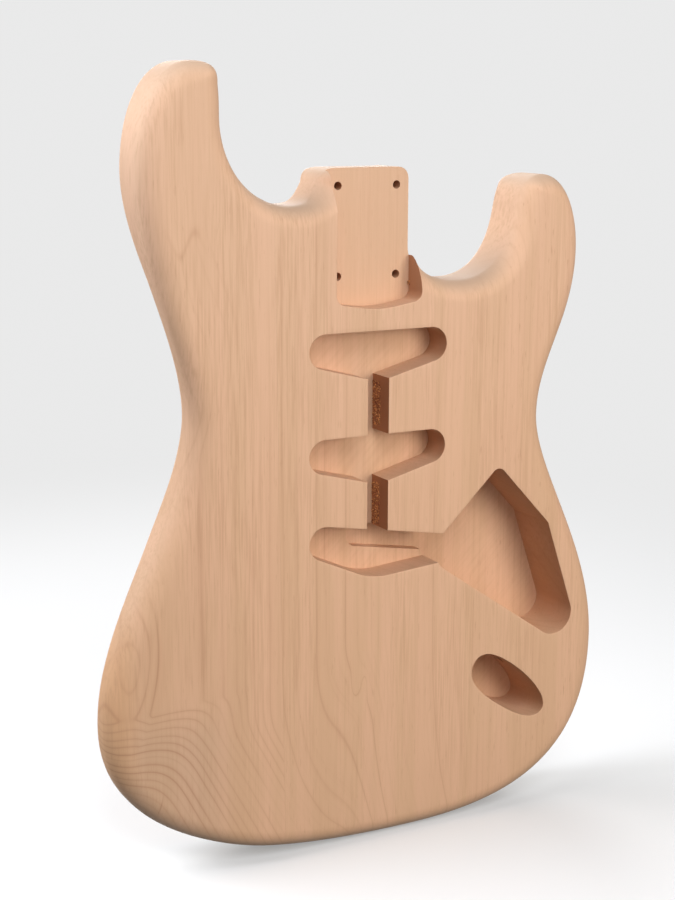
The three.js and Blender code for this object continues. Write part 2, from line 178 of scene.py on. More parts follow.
ear_reach_share = 0.41
control_shares = {"apex": (0.258, -0.3095), "outer": (0.3725, -0.3965), "lower": (0.4703, -0.5993)}
jack_centre_shares = (0.295, -0.6207)
jack_shares = {
    "upper_end": (-0.52, 0.04, 90, 0.365, 0.365),
    "upper_side": (-0.12, 0.5, 0, 0.43, 0.455),
    "lower_end": (0.48, -0.02, -90, 0.2, 0.26),
    "lower_side": (-0.08, -0.5, 180, 0.49, 0.45),
}
forearm_fold_shares = {"upper": (-0.245, -0.143), "lower": (-0.205, -0.784)}
shoulder_corner_share = -0.1
forearm_start_share = -0.1
forearm_full_share = -0.33
rib_centre_share = -0.147
rib_start_share = -0.11
rib_edge_share = -0.355
rib_ease_power = 1.5
corner_room_share = 0.85
thin_wall_share = 0.42

front_y = -pocket_depth
back_y = front_y + body_thickness
heel_side = pocket_mouth_width / 2 - heel_side_step
pickup_end_centre = pickup_end_spacing / 2
pickup_apex_drop = (
    pickup_end_radius * (1 + 1 / math.cos(pickup_lower_slope))
    + pickup_end_centre * math.tan(pickup_lower_slope)
)
quarter_turn = math.pi / 2
half_turn = math.pi
full_turn = 2 * math.pi


# Outlines. A point is a numpy pair (x, z)

def point(x, z):
    return np.array([x, z], float)


def body_place(shares):
    return point(shares[0] * body_width, shares[1] * body_length)


def heading_vector(degrees):
    return point(math.cos(math.radians(degrees)), math.sin(math.radians(degrees)))


def line_points(start, end, step):
    count = max(1, math.ceil(np.linalg.norm(end - start) / step))
    return [start + (end - start) * index / count for index in range(count)]


def arc_points(centre, radius, start_angle, end_angle, step):
    count = max(least_arc_steps, math.ceil(abs(end_angle - start_angle) * radius / step))
    angles = [start_angle + (end_angle - start_angle) * index / count for index in range(count)]
    return [centre + radius * point(math.cos(angle), math.sin(angle)) for angle in angles]


def curve_points(start, start_heading, start_reach, end, end_heading, end_reach, step):
    """A cubic between two knots, its reaches given as shares of the straight way."""
    way = np.linalg.norm(end - start)
    leaving = start + heading_vector(start_heading) * start_reach * way
    arriving = end - heading_vector(end_heading) * end_reach * way
    count = max(least_curve_steps, math.ceil(curve_length_share * way / step))
    points = []
    for index in range(count):
        t = index / count
        u = 1 - t
        points.append(
            u ** 3 * start + 3 * u * u * t * leaving + 3 * u * t * t * arriving + t ** 3 * end
        )
    return points


def body_outline():
    """Clockwise from the treble end of the heel, as seen from the front."""
    corner = point(heel_side - heel_corner_radius, heel_rise - heel_corner_radius)
    ear = (point(heel_side, ear_rise), -90, 0, ear_reach_share)
    heel_start = (point(-corner[0], heel_rise), 0, heel_start_reach_share, 0)
    knots = [ear]
    for across, up, heading, before, after in outline_shares.values():
        knots.append((body_place((across, up)), heading, before, after))
    knots.append(heel_start)
    points = arc_points(corner, heel_corner_radius, quarter_turn, 0, rim_step)
    points += line_points(point(heel_side, corner[1]), ear[0], rim_step)
    for (start, heading, _, reach), (end, end_heading, end_reach, _) in zip(knots, knots[1:]):
        points += curve_points(start, heading, reach, end, end_heading, end_reach, rim_step)
    points += line_points(heel_start[0], point(corner[0], heel_rise), rim_step)
    return np.array(points)


def unit(vector):
    return vector / np.linalg.norm(vector)


def round_centre(corner, before, after):
    """Middle of the round at one corner. A corner is its place and its radius."""
    place, radius = corner
    back = unit(before[0] - place)
    on = unit(after[0] - place)
    return place + unit(back + on) * radius / math.sin(math.acos(back @ on) / 2)


def rounded_corners(corners):
    """An outline of straight sides, each corner with its own radius."""
    points = []
    for index, corner in enumerate(corners):
        place, radius = corner
        if radius == 0:
            points.append(place)
            continue
        before = corners[index - 1]
        after = corners[(index + 1) % len(corners)]
        back = unit(before[0] - place)
        on = unit(after[0] - place)
        centre = round_centre(corner, before, after)
        tangent_way = (centre - place) @ on
        start = place + back * tangent_way - centre
        end = place + on * tangent_way - centre
        start_angle = math.atan2(start[1], start[0])
        sweep = math.atan2(end[1], end[0]) - start_angle
        sweep = (sweep + half_turn) % full_turn - half_turn
        points += arc_points(centre, radius, start_angle, start_angle + sweep, cavity_step)
        points.append(centre + end)
    return np.array(points)


def pocket_outline():
    end_half = pocket_end_width / 2
    mouth_half = pocket_mouth_width / 2
    taper = (end_half - mouth_half) / (heel_rise + pocket_end_drop)
    open_rise = heel_rise + overrun
    open_half = mouth_half - taper * overrun
    corner_drop = pocket_end_drop - pocket_end_bow
    return rounded_corners([
        (point(-end_half, -corner_drop), pocket_corner_radius),
        (point(0, -pocket_end_drop - pocket_end_bow / 2), pocket_end_bow_radius),
        (point(end_half, -corner_drop), pocket_corner_radius),
        (point(open_half, open_rise), 0),
        (point(-open_half, open_rise), 0),
    ])


def pickup_round_end(side):
    """One round end of a pickup cavity: the turn between its upper and its lower edge."""
    centre = point(side * pickup_end_centre, -pickup_end_radius)
    start = quarter_turn
    end = -(quarter_turn - pickup_lower_slope)
    points = arc_points(centre, pickup_end_radius, start, end, cavity_step)
    points.append(centre + pickup_end_radius * point(math.cos(end), math.sin(end)))
    if side > 0:
        return points
    mirrored = [point(2 * centre[0] - place[0], place[1]) for place in points]
    return mirrored[::-1]


def pickup_outline(drop):
    points = pickup_round_end(1) + [point(0, -pickup_apex_drop)] + pickup_round_end(-1)
    return np.array(points) + point(0, -drop)


def turned(points, angle, place):
    cosine, sine = math.cos(angle), math.sin(angle)
    turn = np.array([[cosine, -sine], [sine, cosine]])
    return np.array(points) @ turn.T + place


def placed_at_bridge(points):
    return turned(points, -bridge_cavity_turn, point(bridge_cavity_offset, -bridge_cavity_drop))


def bridge_outline():
    slope = pickup_lower_slope
    centre = point(0, bridge_cavity_heel_radius / math.cos(slope) - pickup_apex_drop)
    heel = arc_points(
        centre, bridge_cavity_heel_radius, slope - quarter_turn, -slope - quarter_turn, cavity_step)
    points = [
        point(slot_reach, 0),
        point(slot_reach, slot_reach * math.tan(slope) - pickup_apex_drop),
        *heel,
        *pickup_round_end(-1),
    ]
    return placed_at_bridge(points)


def slot_outline():
    radius = slot_width / 2
    points = [
        point(slot_reach, 0),
        point(slot_reach, -slot_width),
        *arc_points(
            point(slot_start, -radius), radius, -quarter_turn, -quarter_turn - half_turn, cavity_step),
        point(slot_start, 0),
    ]
    return placed_at_bridge(points)


def channel_outline():
    left = channel_offset - channel_width / 2
    right = channel_offset + channel_width / 2
    top = -neck_cavity_drop - pickup_end_radius
    foot = -bridge_cavity_drop - pickup_end_radius
    return np.array([point(left, top), point(right, top), point(right, foot), point(left, foot)])


def control_corners():
    return [
        (point(control_inner_across, -control_inner_drop), control_inner_radius),
        (body_place(control_shares["apex"]), control_apex_radius),
        (body_place(control_shares["outer"]), control_outer_radius),
        (body_place(control_shares["lower"]), control_lower_radius),
    ]


def jack_outline():
    knots = list(jack_shares.values())
    size = point(jack_cavity_length, jack_cavity_width)
    points = []
    for start, end in zip(knots, knots[1:] + knots[:1]):
        points += curve_points(
            size * start[:2], start[2], start[4], size * end[:2], end[2], end[3], cavity_step)
    return turned(points, jack_cavity_turn, body_place(jack_centre_shares))


def hole_outline(x, z):
    step = full_turn * screw_hole_radius / hole_sides
    return np.array(arc_points(point(x, z), screw_hole_radius, 0, full_turn, step))


# Form of the body

def smooth_step(value, low, high):
    t = np.clip((value - low) / (high - low), 0, 1)
    return t * t * (3 - 2 * t)


def forearm_depth_at(places):
    upper = body_place(forearm_fold_shares["upper"])
    lower = body_place(forearm_fold_shares["lower"])
    fold = (lower - upper) / np.linalg.norm(lower - upper)
    offset = places - upper
    past = np.maximum(offset[:, 0] * fold[1] - offset[:, 1] * fold[0], 0)
    fade = smooth_step(
        -places[:, 1], -forearm_start_share * body_length, -forearm_full_share * body_length)
    slope = fade * forearm_depth / (forearm_reach - forearm_fold_width / 2)
    bend = past ** 2 / (2 * forearm_fold_width)
    straight = past - forearm_fold_width / 2
    return slope * np.where(past < forearm_fold_width, bend, straight)


def shoulder_depth_at(places):
    """The wood beside the pocket is rounded down towards the corner of the heel."""
    corner = point(shoulder_corner_share * body_width, heel_rise)
    way = np.linalg.norm(places - corner, axis=1) / shoulder_reach
    return shoulder_drop * (1 - np.minimum(way, 1) ** 2) ** 2


def front_depth_at(places):
    return forearm_depth_at(places) + shoulder_depth_at(places)


def rib_depth_at(places):
    along = np.abs(places[:, 1] - rib_centre_share * body_length) / rib_half_length
    start = rib_start_share * body_width
    across = np.maximum((start - places[:, 0]) / (start - rib_edge_share * body_width), 0)
    fade = np.cos(quarter_turn * np.minimum(along, 1)) ** 2
    return rib_depth * fade * across ** rib_ease_power


def units(vectors):
    return vectors / np.linalg.norm(vectors, axis=1)[:, None]


def inward_directions(outline):
    ahead = np.roll(outline, -1, axis=0) - outline
    behind = outline - np.roll(outline, 1, axis=0)
    along = units(units(ahead) + units(behind))
    return np.column_stack([along[:, 1], -along[:, 0]])


def rooms_along(outline, inward):
    """Radius of the largest circle inside the outline that touches it at each point."""
    way = outline[None, :, :] - outline[:, None, :]
    ahead = np.einsum("ijk,ik->ij", way, inward)
    square = (way ** 2).sum(axis=2)
    radii = square / np.maximum(2 * ahead, nearly_nothing)
    radii = np.where(ahead > nearly_nothing, radii, body_width)
    return radii.min(axis=1)


def points_inside(places, polygon):
    inside = np.zeros(len(places), bool)
    for start, end in zip(polygon, np.roll(polygon, -1, axis=0)):
        crosses = (start[1] > places[:, 1]) != (end[1] > places[:, 1])
        rise = end[1] - start[1]
        if rise == 0:
            continue
        at = start[0] + (places[:, 1] - start[1]) * (end[0] - start[0]) / rise
        inside ^= crosses & (places[:, 0] < at)
    return inside


def face_grid(polygon):
    """Points on a staggered grid inside one polygon, clear of its border."""
    low = polygon.min(axis=0)
    high = polygon.max(axis=0)
    row_step = face_step * math.sqrt(3) / 2
    places = []
    for row, z in enumerate(np.arange(low[1], high[1], row_step)):
        shift = (row % 2) * face_step / 2
        places += [(x, z) for x in np.arange(low[0] + shift, high[0], face_step)]
    places = np.array(places)
    places = places[points_inside(places, polygon)]
    near = np.full(len(places), body_width)
    for border in polygon:
        near = np.minimum(near, ((places - border) ** 2).sum(axis=1))
    return places[near > (border_room_share * face_step) ** 2]


def new_object(name, data):
    added = bpy.data.objects.new(name, data)
    bpy.context.scene.collection.objects.link(added)
    return added


class MeshMaker:
    """Collects rings of vertices and faces, then makes one object of them."""

    def __init__(self):
        self.vertices = []
        self.faces = []

    def ring(self, places, depths):
        first = len(self.vertices)
        self.vertices += [(x, y, z) for (x, z), y in zip(places, depths)]
        return first

    def band(self, near, far, count):
        for index in range(count):
            following = (index + 1) % count
            self.faces.append((near + index, near + following, far + following, far + index))

    def make(self, name):
        mesh = bpy.data.meshes.new(name)
        mesh.from_pydata(self.vertices, [], self.faces)
        mesh.validate()
        return new_object(name, mesh)


def rounded_face(maker, outline, inward, edge, face_y, into_wood, depth_at):
    """One face of the body: its rounded edge, and the middle as a fine net. Returns the rim ring."""
    rings = []
    for step in range(edge_steps + 1):
        angle = quarter_turn * step / edge_steps
        places = outline + inward * (edge * (1 - math.sin(angle)))[:, None]
        drops = edge * (1 - math.cos(angle))
        depths = face_y + into_wood * (depth_at(places) + drops)
        rings.append(maker.ring(places, depths))
    count = len(outline)
    for near, far in zip(rings, rings[1:]):
        if into_wood > 0:
            maker.band(near, far, count)
        else:
            maker.band(far, near, count)
    border = outline + inward * edge[:, None]
    inner = face_grid(border)
    all_places = [Vector(place) for place in np.vstack([border, inner])]
    sides = [(index, (index + 1) % count) for index in range(count)]
    net, _, triangles, origins, _, _ = delaunay_2d_cdt(
        all_places, sides, [], only_inside_border, net_tolerance)
    numbers = []
    places = np.array([tuple(place) for place in net])
    depths = face_y + into_wood * depth_at(places)
    for index, origin in enumerate(origins):
        if origin and origin[0] < count:
            numbers.append(rings[0] + origin[0])
        else:
            numbers.append(len(maker.vertices))
            maker.vertices.append((places[index][0], depths[index], places[index][1]))
    for triangle in triangles:
        a, b, c = (places[index] for index in triangle)
        clockwise = (b[0] - a[0]) * (c[1] - a[1]) < (b[1] - a[1]) * (c[0] - a[0])
        ordered = [numbers[index] for index in triangle]
        if clockwise == (into_wood > 0):
            ordered.reverse()
        maker.faces.append(ordered)
    return rings[-1]


def body_blank():
    outline = body_outline()
    inward = inward_directions(outline)
    wall = body_thickness - front_depth_at(outline) - rib_depth_at(outline)
    rooms = corner_room_share * rooms_along(outline, inward)
    edge = np.minimum(np.minimum(edge_radius, rooms), thin_wall_share * wall)
    maker = MeshMaker()
    front_rim = rounded_face(maker, outline, inward, edge, front_y, 1, front_depth_at)
    back_rim = rounded_face(maker, outline, inward, edge, back_y, -1, rib_depth_at)
    maker.band(front_rim, back_rim, len(outline))
    return maker.make("blank")


def cavity_cutter(name, outline, depth, arris=arris_radius):
    """A cutter with upright walls whose mouth flares a little, so that the edge is broken."""
    inward = inward_directions(outline)
    if signed_area(outline) > 0:
        inward = -inward
    maker = MeshMaker()
    rings = [maker.ring(outline - inward * arris, np.full(len(outline), front_y - overrun))]
    for step in range(arris_steps + 1):
        angle = quarter_turn * step / arris_steps
        places = outline - inward * arris * (1 - math.sin(angle))
        rings.append(maker.ring(places, np.full(len(outline), front_y + arris * (1 - math.cos(angle)))))
    rings.append(maker.ring(outline, np.full(len(outline), front_y + depth)))
    count = len(outline)
    for near, far in zip(rings, rings[1:]):
        maker.band(near, far, count)
    maker.faces.append([rings[0] + index for index in range(count)][::-1])
    maker.faces.append([rings[-1] + index for index in range(count)])
    return solid_piece(maker.make(name))


def wire_hole_cutter():
    """Drilled from the middle of the jack cavity into the round lower end of the control cavity."""
    start = body_place(jack_centre_shares)
    inner, _, outer, lower = control_corners()
    way = round_centre(lower, outer, inner) - start
    middle = start + way / 2
    bpy.ops.mesh.primitive_cylinder_add(
        vertices=hole_sides, radius=wire_hole_radius, depth=np.linalg.norm(way),
        location=(middle[0], front_y + wire_hole_depth, middle[1]),
        rotation=Vector((way[0], 0, way[1])).to_track_quat("Z", "Y").to_euler())
    return bpy.context.object


def signed_area(outline):
    following = np.roll(outline, -1, axis=0)
    return (outline[:, 0] * following[:, 1] - outline[:, 1] * following[:, 0]).sum() / 2


def solid_piece(piece):
    """Turns the faces of a closed piece outwards."""
    shape = bmesh.new()
    shape.from_mesh(piece.data)
    bmesh.ops.recalc_face_normals(shape, faces=shape.faces)
    shape.to_mesh(piece.data)
    shape.free()
    return piece


def combine(piece, other, operation):
    """Cuts or intersects one closed piece with another, which it uses up."""
    modifier = piece.modifiers.new("cut", "BOOLEAN")
    modifier.operation = operation
    modifier.solver = "MANIFOLD"
    modifier.material_mode = "TRANSFER"
    modifier.object = other
    bpy.context.view_layer.update()
    result = bpy.data.meshes.new_from_object(piece.evaluated_get(bpy.context.evaluated_depsgraph_get()))
    piece.modifiers.clear()
    piece.data = result
    bpy.data.objects.remove(other)


def cut_cavities(body):
    cutters = [
        cavity_cutter("pocket", pocket_outline(), pocket_depth),
        cavity_cutter("neck_cavity", pickup_outline(neck_cavity_drop), pickup_cavity_depth),
        cavity_cutter("middle_cavity", pickup_outline(middle_cavity_drop), pickup_cavity_depth),
        cavity_cutter("channel", channel_outline(), pickup_cavity_depth),
        cavity_cutter("bridge_cavity", bridge_outline(), pickup_cavity_depth),
        cavity_cutter("slot", slot_outline(), slot_depth),
        cavity_cutter("control_cavity", rounded_corners(control_corners()), control_cavity_depth),
        cavity_cutter("jack_cavity", jack_outline(), jack_cavity_depth),
        wire_hole_cutter(),
    ]
    for side in (-1, 1):
        for end in (-1, 1):
            outline = hole_outline(side * screw_spacing_across / 2, end * screw_spacing_along / 2)
            cutters.append(cavity_cutter("hole", outline, body_thickness + overrun, 0))
    body.data.materials.append(bpy.data.materials.new("sanded"))
    routed = bpy.data.materials.new("routed")
    for cutter in cutters:
        cutter.data.materials.append(routed)
        combine(body, cutter, "DIFFERENCE")


def board_region(left_edge, left_lean, right_edge, right_lean):
    rise = body_length
    corners = [
        (left_edge - rise * math.tan(left_lean), -rise),
        (right_edge - rise * math.tan(right_lean), -rise),
        (right_edge + rise * math.tan(right_lean), rise),
        (left_edge + rise * math.tan(left_lean), rise),
    ]
    return cavity_cutter("region", np.array(corners), body_thickness + overrun, 0)


def shade_smooth(piece):
    shape = bmesh.new()
    shape.from_mesh(piece.data)
    bmesh.ops.remove_doubles(shape, verts=shape.verts, dist=weld_distance)
    for face in shape.faces:
        face.smooth = True
    for edge in shape.edges:
        edge.smooth = len(edge.link_faces) == 2 and edge.calc_face_angle(half_turn) < sharp_angle
    shape.to_mesh(piece.data)
    shape.free()
    weighted = piece.modifiers.new("even_shading", "WEIGHTED_NORMAL")
    weighted.keep_sharp = True


def make_boards():
    body = body_blank()
    solid_piece(body)
    cut_cavities(body)
    half_line = glue_line / 2
    regions = {
        "bass_board": (-body_width, 0, -bass_board_edge - half_line, -bass_board_lean),
        "centre_board": (-bass_board_edge + half_line, -bass_board_lean,
                         treble_board_edge - half_line, treble_board_lean),
        "treble_board": (treble_board_edge + half_line, treble_board_lean, body_width, 0),
    }
    boards = {}
    for name, region in regions.items():
        board = new_object(name + "_wood", body.data.copy())
        combine(board, board_region(*region), "INTERSECT")
        shade_smooth(board)
        boards[name] = board
    bpy.data.objects.remove(body)
    return boards


# Wood. Places and lengths in the grain are in millimetres, and the scales of noise are in cells per metre
# across the board, through it and along its grain. A ramp is written as the two ends of the signal, and
# then what it gives at each, where that isn't 0 and 1. Each board has a field of its own, and a ring line
# lies wherever the field passes a whole number of ring spacings.

pink_wood = (0.684, 0.414, 0.262, 1)
tan_wood = (0.645, 0.396, 0.242, 1)
streak_wood = (0.45, 0.245, 0.135, 1)
# Painted light: the paler colour the wood is mixed towards near the top of the body
top_light_colour = (0.73, 0.49, 0.36, 1)
ring_wood = (0.38, 0.175, 0.09, 1)
pore_wood = (0.4, 0.2, 0.11, 1)
end_grain_wood = (0.48, 0.33, 0.23, 1)
# Painted shade: the darker, more golden colour of the lower bass rim
rim_shade_colour = (0.62, 0.34, 0.165, 1)
# Painted shade: the dark red brown that routed walls facing across the board are mixed towards
wall_shade_colour = (0.38, 0.145, 0.058, 1)


class Signal:
    """A number that varies over the surface: the output of a node."""

    def __init__(self, tree, socket):
        self.tree = tree
        self.socket = socket

    def through(self, operation, *others):
        node = self.tree.nodes.new("ShaderNodeMath")
        node.operation = operation
        for place, value in zip(node.inputs, (self, *others)):
            if isinstance(value, Signal):
                self.tree.links.new(value.socket, place)
            else:
                place.default_value = value
        return Signal(self.tree, node.outputs[0])

    def __add__(self, other):
        return self.through("ADD", other)

    def __sub__(self, other):
        return self.through("SUBTRACT", other)

    def __mul__(self, other):
        return self.through("MULTIPLY", other)

    def __truediv__(self, other):
        return self.through("DIVIDE", other)

    def __pow__(self, other):
        return self.through("POWER", other)

    def smaller(self, other, softness):
        return self.through("SMOOTH_MIN", other, softness)

    def larger(self, other, softness):
        return self.through("SMOOTH_MAX", other, softness)

    def ramp(self, low, high, start=0, end=1):
        """Goes smoothly from start, where the signal is low, to end, where it is high."""
        node = self.tree.nodes.new("ShaderNodeMapRange")
        node.interpolation_type = "SMOOTHSTEP"
        settings = {"From Min": low, "From Max": high, "To Min": start, "To Max": end}
        for name, value in settings.items():
            node.inputs[name].default_value = value
        self.tree.links.new(self.socket, node.inputs["Value"])
        return Signal(self.tree, node.outputs["Result"])


def hump(signal, width):
    """1 where the signal is 0, and fading on both sides."""
    return ((signal / width) ** 2 * -1).through("EXPONENT")


def length_of(across, along):
    return (across * across + along * along).through("SQRT")


class Grain:
    """The nodes of one material, with the place on the body in millimetres."""

    def __init__(self, name, seed):
        self.material = bpy.data.materials.new(name)
        self.material.use_nodes = True
        self.tree = self.material.node_tree
        self.shader = self.tree.nodes["Principled BSDF"]
        self.seed = seed
        self.place = self.tree.nodes.new("ShaderNodeTexCoord").outputs["Object"]
        parts = self.tree.nodes.new("ShaderNodeSeparateXYZ")
        self.tree.links.new(self.place, parts.inputs[0])
        self.x, self.y, self.z = (Signal(self.tree, output) / mm for output in parts.outputs)
        self.depth = self.y - front_y / mm

    def noise(self, scales, detail=2, offset=0):
        """Noise from -1 to 1. The offset tells one noise of the board from another."""
        stretch = self.tree.nodes.new("ShaderNodeVectorMath")
        stretch.operation = "MULTIPLY_ADD"
        stretch.inputs[1].default_value = scales
        stretch.inputs[2].default_value = (self.seed, offset, self.seed + offset)
        self.tree.links.new(self.place, stretch.inputs[0])
        return self.noise_at(stretch.outputs[0], detail)

    def noise_along(self, across, along):
        """Noise from -1 to 1 over two signals of its own."""
        join = self.tree.nodes.new("ShaderNodeCombineXYZ")
        join.inputs[2].default_value = self.seed
        self.tree.links.new(across.socket, join.inputs[0])
        self.tree.links.new(along.socket, join.inputs[1])
        return self.noise_at(join.outputs[0], 1)

    def noise_at(self, place, detail):
        node = self.tree.nodes.new("ShaderNodeTexNoise")
        node.inputs["Scale"].default_value = 1
        node.inputs["Detail"].default_value = detail
        self.tree.links.new(place, node.inputs["Vector"])
        return Signal(self.tree, node.outputs[0]) * 2 - 1

    def wander(self, slow_scales, slow_reach, quick_scales, quick_reach):
        """How far the grain strays sideways, in slow swings with quick ones on top."""
        slow = self.noise(slow_scales, detail=1) * slow_reach
        return slow + self.noise(quick_scales, detail=1, offset=3) * quick_reach

    def region(self, sides, heights):
        """1 in a part of the board, fading in across the grain and along it."""
        return self.x.ramp(*sides) * self.z.ramp(*heights)

    def facing(self):
        """How far the surface faces across the board, and along its grain, from 0 to 1."""
        geometry = self.tree.nodes.new("ShaderNodeNewGeometry")
        parts = self.tree.nodes.new("ShaderNodeSeparateXYZ")
        self.tree.links.new(geometry.outputs["Normal"], parts.inputs[0])
        across, _, along = (Signal(self.tree, output).through("ABSOLUTE") for output in parts.outputs)
        return across, along

    def mix(self, first, second, factor):
        """Goes from the first colour, where the factor is 0, to the second."""
        node = self.tree.nodes.new("ShaderNodeMix")
        node.data_type = "RGBA"
        self.tree.links.new(factor.socket, node.inputs["Factor"])
        for name, value in (("A", first), ("B", second)):
            place = next(p for p in node.inputs if p.name == name and p.type == "RGBA")
            if isinstance(value, tuple):
                place.default_value = value
            else:
                self.tree.links.new(value, place)
        return next(output for output in node.outputs if output.type == "RGBA")

    def feed(self, name, socket):
        """Links a colour, a number or a normal to the shader."""
        self.tree.links.new(socket, self.shader.inputs[name])


# Ring lines: each is a thin line in a fainter, wider one. It wobbles, and is stronger in some places.

line_width = 0.4
line_strength = 0.75
band_width = 1.5
band_strength = 0.3
ring_strength = 0.28
wobble = 2
wobble_length = 300
wobble_spread = 9
fading_length = 90
fading_spread = 1.7
fading_range = (-0.3, 0.3)
faintest_share = 0.1
depth_drift_share = 0.2


def soft_line(distance):
    return hump(distance, line_width) * line_strength + hump(distance, band_width) * band_strength


def ring_lines(grain, field, spacing, faintest=faintest_share):
    """Lines where the field passes a whole number of spacings, some faint and some strong."""
    uneven = field + grain.noise_along(field / wobble_spread, grain.z / wobble_length) * wobble
    near = (uneven / spacing + 0.5).through("FRACT") - 0.5
    number = (uneven / spacing + 0.5).through("FLOOR")
    fading = grain.noise_along(number * fading_spread, grain.z / fading_length)
    return soft_line(near * spacing) * fading.ramp(*fading_range, faintest, 1)


# Bass board: upright lines that lean into the horn and turn into nested arches at the foot

bass_wander = ((14, 10, 5), 1.6, (60, 60, 30), 0.5)
bass_ring_spacing = 4.8
bass_ring_strength = 1.1
bass_faintest_share = 0.3
horn_lean_ramp = (-110, 15, 0, 26)
horn_lean_sides = (-66, -118)
apex_place = (-118, -269)
apex_softness = 34
arm_slope = 0.53
arm_start = 9
arm_least_drop = 11
arm_softness = 14
arch_squeeze = 1.25
arch_tilt = 0.2
arch_start = 3
arch_least = -4
arch_softness = 3
upright_place = (-112, -113)
upright_slope = 2.33
upright_strength = 0.4
bass_clear_region = ((-88, -118), (-180, -250))
horn_clear_ramp = (-60, -180, 0.25, 0.8)

# The eye beside the arches

eye_place = (-148.5, -239)
eye_size = (14, 44)
eye_slant = 0.1
eye_edge_share = 1.15
eye_rise = 13

# A short dark check in the lower corner

check_place = (-134, -322)
check_slant = 0.2
check_width = 0.4
check_length = 5
check_strength = 1.6

# A faint line that swings down and up again on the horn, with a small knot at its top

swing_place = (-122, -9)
swing_width = 9
swing_height = 13
swing_line_width = 1.2
swing_line_lean_share = 0.5
swing_middle = 4
swing_strength = 0.7
knot_radius = 3.5
knot_strength = 0.35


def arch_field(grain, wander):
    """Nested arches below the apex, steep on their treble side, and upright lines above it."""
    apex_x, apex_z = apex_place
    lean = grain.z.ramp(*horn_lean_ramp) * grain.x.ramp(*horn_lean_sides)
    aside = grain.x - apex_x + lean + wander
    below = grain.z * -1 + apex_z + wander
    slide = below.larger(arm_least_drop, arm_softness) * arm_slope
    arms = (aside - slide - arm_start) * -1
    arches = (below * arch_squeeze + aside * arch_tilt + arch_start).larger(arch_least, arch_softness)
    upright_x, upright_z = upright_place
    upright = ((grain.x - upright_x) * -upright_slope + grain.z - upright_z) * upright_strength
    return arms.smaller(arches.larger(upright, arch_softness), apex_softness)


def eye_field(grain, wander):
    """A slim oval hill, so that rings close round its top."""
    eye_x, eye_z = eye_place
    width, height = eye_size
    up = grain.z - eye_z
    way = length_of((grain.x - eye_x + wander - up * eye_slant) / width, up / height)
    return (way * -1 + eye_edge_share).through("MAXIMUM", 0) * eye_rise


def check_line(grain):
    check_x, check_z = check_place
    up = grain.z - check_z
    line = hump(grain.x - check_x - up * check_slant, check_width)
    return line * hump(up, check_length) * check_strength


def swing_line(grain, wander):
    swing_x, swing_z = swing_place
    aside = grain.x - swing_x
    swing = ((aside + wander) * (half_turn / swing_width)).through("COSINE")
    up = grain.z - swing_z
    line_up = swing * (-swing_height / 2) + swing_height / 2
    line = hump((up - line_up) * swing_line_lean_share, swing_line_width)
    line = line * hump(aside - swing_middle, swing_width) * swing_strength
    return line + hump(length_of(aside - swing_width, up - swing_height), knot_radius) * knot_strength


def bass_rings(grain):
    wander = grain.wander(*bass_wander)
    field = arch_field(grain, wander) + eye_field(grain, wander) + grain.depth * depth_drift_share
    lines = ring_lines(grain, field, bass_ring_spacing, bass_faintest_share) * bass_ring_strength
    clear = grain.region(*bass_clear_region) + grain.z.ramp(*horn_clear_ramp)
    return lines * clear + check_line(grain) + swing_line(grain, wander)


# Centre board: a few long lines that bend to the treble side at the foot, and one that doubles back

centre_wander = ((10, 10, 4), 2, (40, 40, 18), 0.8)
long_line_strengths = {
    -62: 0.75,
    -53: 0.4,
    -40.5: 0.8,
    -34: 0.3,
    -21.3: 1.25,
    -8: 0.2,
    12: 0.2,
    38.7: 0.9,
    57: 0.3,
}
steady_strength = 1
steady_wander_share = 0.3
long_line_top_ramp = (-150, -60, 1, 0.5)
worn_scales = (20, 20, 9)
worn_ramp = (-0.5, 0.2, 0.4, 1)
bend_start = 250
bend_length = 100
bend_reach = 17.3
bend_squeeze = 0.147
step_ramp = (-238, -295, 0, 18)
step_middle = -10
step_width = 22
double_place = (-14.5, -266)
double_widths = (2.5, 2)
double_spacing = 6.5
double_height = 8
double_reach = 9
fine_spacing = 4.5
fine_ramp = (-330, -180, 0.2, 0.42)
dense_squeeze = 1.6
dense_spacing = 5
dense_middle = -52
dense_width = 14
dense_strength = 0.15


def centre_field(grain):
    double_x, double_z = double_place
    out_width, back_width = double_widths
    aside = grain.x - double_x
    double = hump(aside, out_width) - hump(aside - double_spacing, back_width)
    double = double * hump(grain.z - double_z, double_height) * double_reach
    step = grain.z.ramp(*step_ramp) * hump(grain.x - step_middle, step_width)
    bend = ((grain.z * -1 - bend_start) / bend_length).through("MAXIMUM", 0) ** 2
    bent = (grain.x - bend * bend_reach) / (bend * -bend_squeeze + 1)
    return bent - step + double + grain.depth * depth_drift_share


def long_lines(grain, field, wander):
    """Lines at places of their own. The strongest ones wander less."""
    lines = None
    for place, strength in long_line_strengths.items():
        drift = wander * (steady_wander_share if strength > steady_strength else 1)
        line = soft_line(field + drift - place) * strength
        lines = line if lines is None else lines + line
    worn = grain.noise(worn_scales, detail=1, offset=5).ramp(*worn_ramp)
    return lines * grain.z.ramp(*long_line_top_ramp) * worn


def centre_rings(grain):
    wander = grain.wander(*centre_wander)
    field = centre_field(grain)
    fine = ring_lines(grain, field + wander, fine_spacing) * grain.z.ramp(*fine_ramp)
    dense = ring_lines(grain, field * dense_squeeze + wander, dense_spacing)
    dense = dense * hump(field - dense_middle, dense_width) * dense_strength
    return long_lines(grain, field, wander) + fine + dense


# Treble board: straight fine lines, none of them strong

treble_wander_scales = (12, 10, 3)
treble_wander = 2
treble_drift_share = 0.3
treble_ring_strength = 0.5


def treble_rings(grain):
    wander = grain.noise(treble_wander_scales, detail=1) * treble_wander
    field = grain.x + wander + grain.depth * treble_drift_share
    return ring_lines(grain, field, fine_spacing) * treble_ring_strength


# Colour and finish of a board

